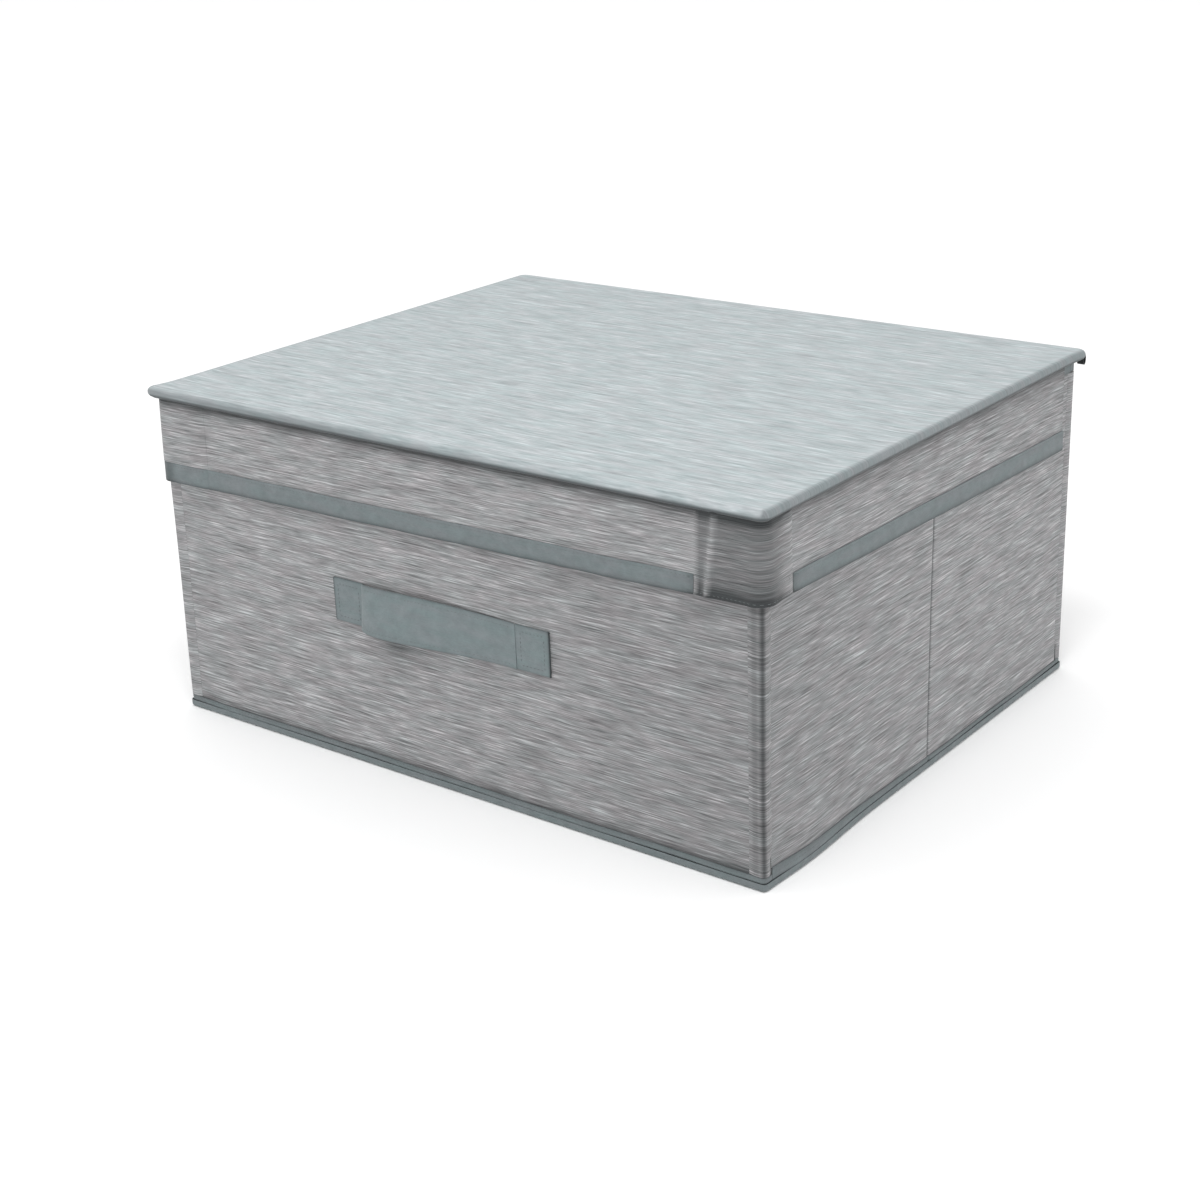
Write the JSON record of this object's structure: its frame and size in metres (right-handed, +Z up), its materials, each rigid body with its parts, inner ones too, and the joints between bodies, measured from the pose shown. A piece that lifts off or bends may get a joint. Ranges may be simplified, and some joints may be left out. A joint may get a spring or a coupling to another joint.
{
  "type": "fabric storage bin",
  "caption": "Collapsible cloth-covered storage box with stiff walls, a hinged lid with a hemmed skirt, a front strap handle and a loose base board.",
  "frame": {"origin": "on the floor under the middle of the box's body, in the flat underside of the floor cloth", "axes": "+X to the right seen from the front, +Y to the back where the lid hinges, +Z up; the handle faces -Y"},
  "size_m": [0.5098, 0.4207, 0.242],
  "materials": {
    "wall_print": "non-woven cloth printed with fine grey linen streaks, matte",
    "lid_print": "the same streaked print in a lighter cool grey, matte",
    "plain_tape": "plain grey-green non-woven tape, matte, pressed dots",
    "grey_lining": "plain grey non-woven lining, matte",
    "stiffener_board": "plain brown greyboard"
  },
  "bodies": {
    "base": {"floor_cloth": "plain_tape", "base_board": "stiffener_board", "base_board_cover": "grey_lining", "back_cover": "wall_print", "back_board": "stiffener_board", "back_lining": "grey_lining", "back_rim_binding": "plain_tape", "back_bottom_binding": "plain_tape", "back_corner_seam_left": "wall_print", "back_corner_seam_right": "wall_print", "hinge_cloth": "wall_print"},
    "front_wall": {"front_cover": "wall_print", "front_board": "stiffener_board", "front_lining": "grey_lining", "front_rim_binding": "plain_tape", "front_bottom_binding": "plain_tape", "front_corner_seam_left": "wall_print", "front_corner_seam_right": "wall_print", "handle_tab_left": "plain_tape", "handle_tab_right": "plain_tape"},
    "handle": {"handle_grip": "plain_tape"},
    "lid": {"lid_lining": "grey_lining", "lid_board": "stiffener_board", "lid_cover": "lid_print", "lid_edge_front": "lid_print", "lid_edge_back": "lid_print", "lid_edge_left": "lid_print", "lid_edge_right": "lid_print", "front_flap": "wall_print", "front_flap_hem": "plain_tape", "left_flap": "wall_print", "left_flap_hem": "plain_tape", "right_flap": "wall_print", "right_flap_hem": "plain_tape", "left_corner_patch": "wall_print", "left_corner_hem": "plain_tape", "right_corner_patch": "wall_print", "right_corner_hem": "wall_print"},
    "rear_right_half": {"rear_right_cover": "wall_print", "rear_right_board": "stiffener_board", "rear_right_lining": "grey_lining", "rear_right_rim_binding": "plain_tape", "rear_right_bottom_binding": "plain_tape"},
    "front_right_half": {"front_right_cover": "wall_print", "front_right_board": "stiffener_board", "front_right_lining": "grey_lining", "front_right_rim_binding": "plain_tape", "front_right_bottom_binding": "plain_tape"},
    "rear_left_half": {"rear_left_cover": "wall_print", "rear_left_board": "stiffener_board", "rear_left_lining": "grey_lining", "rear_left_rim_binding": "plain_tape", "rear_left_bottom_binding": "plain_tape"},
    "front_left_half": {"front_left_cover": "wall_print", "front_left_board": "stiffener_board", "front_left_lining": "grey_lining", "front_left_rim_binding": "plain_tape", "front_left_bottom_binding": "plain_tape"}
  },
  "joints": [
    {"name": "lid_hinge", "type": "hinge", "parent": "base", "child": "lid", "pos_m": [0, 0.207, 0.236], "axis": [-1, 0, 0], "range_deg": [0, 213]},
    {"name": "wall_fold", "type": "hinge", "parent": "base", "child": "rear_right_half", "pos_m": [0.2442, 0.1942, 0], "axis": [0, 0, -1], "range_deg": [0, 88], "deforming": ["floor_cloth"]},
    {"name": "right_centre_fold", "type": "hinge", "parent": "rear_right_half", "child": "front_right_half", "pos_m": [0.2495, 0, 0], "axis": [0, 0, 1], "range_deg": [0, 176]},
    {"name": "right_front_corner", "type": "hinge", "parent": "front_right_half", "child": "front_wall", "pos_m": [0.2442, -0.1942, 0], "axis": [0, 0, -1], "range_deg": [0, 88]},
    {"name": "left_rear_corner", "type": "hinge", "parent": "base", "child": "rear_left_half", "pos_m": [-0.2442, 0.1942, 0], "axis": [0, 0, 1], "range_deg": [0, 88]},
    {"name": "left_centre_fold", "type": "hinge", "parent": "rear_left_half", "child": "front_left_half", "pos_m": [-0.2495, 0, 0], "axis": [0, 0, -1], "range_deg": [0, 176]},
    {"name": "handle_swing", "type": "hinge", "parent": "front_wall", "child": "handle", "pos_m": [0, -0.202, 0.118], "axis": [1, 0, 0], "range_deg": [-35, 35], "deforming": ["handle_grip"]}
  ],
  "couplings": [
    {"joint": "right_centre_fold", "follows": "wall_fold", "ratio": 2},
    {"joint": "right_front_corner", "follows": "wall_fold", "ratio": 1},
    {"joint": "left_rear_corner", "follows": "wall_fold", "ratio": 1},
    {"joint": "left_centre_fold", "follows": "wall_fold", "ratio": 2}
  ]
}
